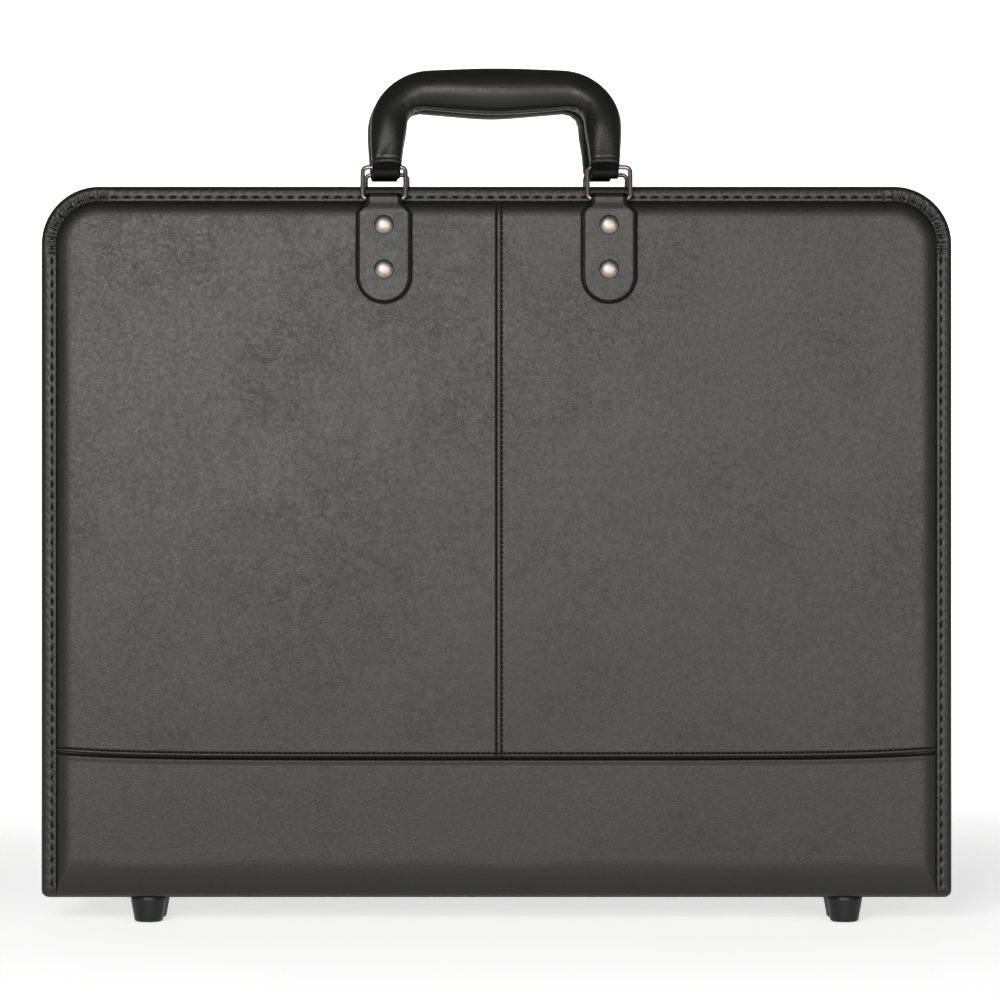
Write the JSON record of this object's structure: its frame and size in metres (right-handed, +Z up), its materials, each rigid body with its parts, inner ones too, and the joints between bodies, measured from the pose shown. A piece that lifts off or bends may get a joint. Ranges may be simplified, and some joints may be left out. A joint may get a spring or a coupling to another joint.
{
  "type": "portfolio case",
  "caption": "Zip-round portfolio case in black leatherette with padded covers that fold open from a soft spine, paired carrying handles on rings, feet and a ring binder inside.",
  "frame": {"origin": "middle of the four feet's undersides, on the floor plane; bottom centre of the whole case", "axes": "+X along the spine to the right as seen from the front, -Y out of the front cover, +Z up towards the handles"},
  "size_m": [0.597, 0.0906, 0.5628],
  "materials": {
    "leatherette": "black leatherette with a fine creased grain, satin",
    "board": "grey millboard",
    "foam": "charcoal open-cell foam",
    "lining": "black woven lining",
    "zip_tape": "black woven zip tape",
    "zip_plastic": "black moulded zip teeth",
    "nickel": "warm nickel plate, satin bright",
    "foot_plastic": "moulded black plastic, satin"
  },
  "bodies": {
    "spine": {"spine_skin": "leatherette", "spine_board": "board", "spine_lining": "lining", "binder_base": "nickel", "foot_front_left": "foot_plastic", "foot_front_right": "foot_plastic", "foot_back_left": "foot_plastic", "foot_back_right": "foot_plastic"},
    "front_cover": {"front_skin_left": "leatherette", "front_skin_right": "leatherette", "front_skin_lower": "leatherette", "front_board": "board", "front_padding": "foam", "front_binding": "leatherette", "front_gusset": "leatherette", "front_zip_tape": "zip_tape", "front_zip_chain": "zip_plastic", "front_lining": "lining", "front_pocket": "lining", "front_tab_left": "leatherette", "front_tab_right": "leatherette", "front_rivet_upper_left": "nickel", "front_rivet_upper_right": "nickel", "front_rivet_lower_left": "nickel", "front_rivet_lower_right": "nickel"},
    "front_rings": {"front_ring_left": "nickel", "front_ring_right": "nickel"},
    "front_handle": {"front_handle_grip": "leatherette", "front_handle_core": "leatherette"},
    "binder_front_blade": {"binder_front_blade": "nickel"},
    "back_cover": {"back_skin_left": "leatherette", "back_skin_right": "leatherette", "back_skin_lower": "leatherette", "back_board": "board", "back_padding": "foam", "back_binding": "leatherette", "back_gusset": "leatherette", "back_zip_tape": "zip_tape", "back_zip_chain": "zip_plastic", "back_lining": "lining", "back_pocket": "lining", "back_tab_left": "leatherette", "back_tab_right": "leatherette", "back_rivet_upper_left": "nickel", "back_rivet_upper_right": "nickel", "back_rivet_lower_left": "nickel", "back_rivet_lower_right": "nickel"},
    "back_rings": {"back_ring_left": "nickel", "back_ring_right": "nickel"},
    "back_handle": {"back_handle_grip": "leatherette", "back_handle_core": "leatherette"},
    "binder_back_blade": {"binder_back_blade": "nickel"},
    "binder_left_lever": {"binder_lever_left": "nickel"},
    "zip_left_slider": {"zip_slider_left": "nickel"},
    "zip_left_pull": {"zip_pull_left": "nickel"},
    "binder_right_lever": {"binder_lever_right": "nickel"},
    "zip_right_slider": {"zip_slider_right": "nickel"},
    "zip_right_pull": {"zip_pull_right": "nickel"}
  },
  "joints": [
    {"name": "front_cover_fold", "type": "hinge", "parent": "spine", "child": "front_cover", "pos_m": [0, -0.028, 0.0175], "axis": [1, 0, 0], "range_deg": [0, 90]},
    {"name": "front_ring_swing", "type": "hinge", "parent": "front_cover", "child": "front_rings", "pos_m": [0, -0.04015, 0.475], "axis": [1, 0, 0], "range_deg": [0, 107]},
    {"name": "front_handle_swing", "type": "hinge", "parent": "front_rings", "child": "front_handle", "pos_m": [0, -0.03339, 0.49594], "axis": [1, 0, 0], "range_deg": [0, 90]},
    {"name": "back_cover_fold", "type": "hinge", "parent": "spine", "child": "back_cover", "pos_m": [0, 0.028, 0.0175], "axis": [-1, 0, 0], "range_deg": [0, 90]},
    {"name": "back_ring_swing", "type": "hinge", "parent": "back_cover", "child": "back_rings", "pos_m": [0, 0.04015, 0.475], "axis": [-1, 0, 0], "range_deg": [0, 107]},
    {"name": "back_handle_swing", "type": "hinge", "parent": "back_rings", "child": "back_handle", "pos_m": [0, 0.03339, 0.49594], "axis": [-1, 0, 0], "range_deg": [0, 90]},
    {"name": "zip_left_slide", "type": "slide", "parent": "front_cover", "child": "zip_left_slider", "axis": [-1, 0, 0], "range_m": [0, 0.225]},
    {"name": "zip_left_pull_swing", "type": "hinge", "parent": "zip_left_slider", "child": "zip_left_pull", "pos_m": [-0.0075, 0, 0.47835], "axis": [0, 1, 0], "range_deg": [0, 150]},
    {"name": "zip_right_slide", "type": "slide", "parent": "front_cover", "child": "zip_right_slider", "axis": [1, 0, 0], "range_m": [0, 0.225]},
    {"name": "zip_right_pull_swing", "type": "hinge", "parent": "zip_right_slider", "child": "zip_right_pull", "pos_m": [0.0075, 0, 0.47835], "axis": [0, -1, 0], "range_deg": [0, 150]},
    {"name": "binder_front_open", "type": "hinge", "parent": "spine", "child": "binder_front_blade", "pos_m": [0, -0.0087, 0.0257], "axis": [1, 0, 0], "range_deg": [0, 18]},
    {"name": "binder_back_open", "type": "hinge", "parent": "spine", "child": "binder_back_blade", "pos_m": [0, 0.0087, 0.0257], "axis": [-1, 0, 0], "range_deg": [0, 18]},
    {"name": "binder_left_lever_tilt", "type": "hinge", "parent": "spine", "child": "binder_left_lever", "pos_m": [-0.223, 0, 0.0257], "axis": [0, -1, 0], "range_deg": [0, 40]},
    {"name": "binder_right_lever_tilt", "type": "hinge", "parent": "spine", "child": "binder_right_lever", "pos_m": [0.223, 0, 0.0257], "axis": [0, 1, 0], "range_deg": [0, 40]}
  ],
  "couplings": [
    {"joint": "binder_back_open", "follows": "binder_front_open", "ratio": 1},
    {"joint": "binder_left_lever_tilt", "follows": "binder_front_open", "ratio": 2.2},
    {"joint": "binder_right_lever_tilt", "follows": "binder_front_open", "ratio": 2.2}
  ]
}
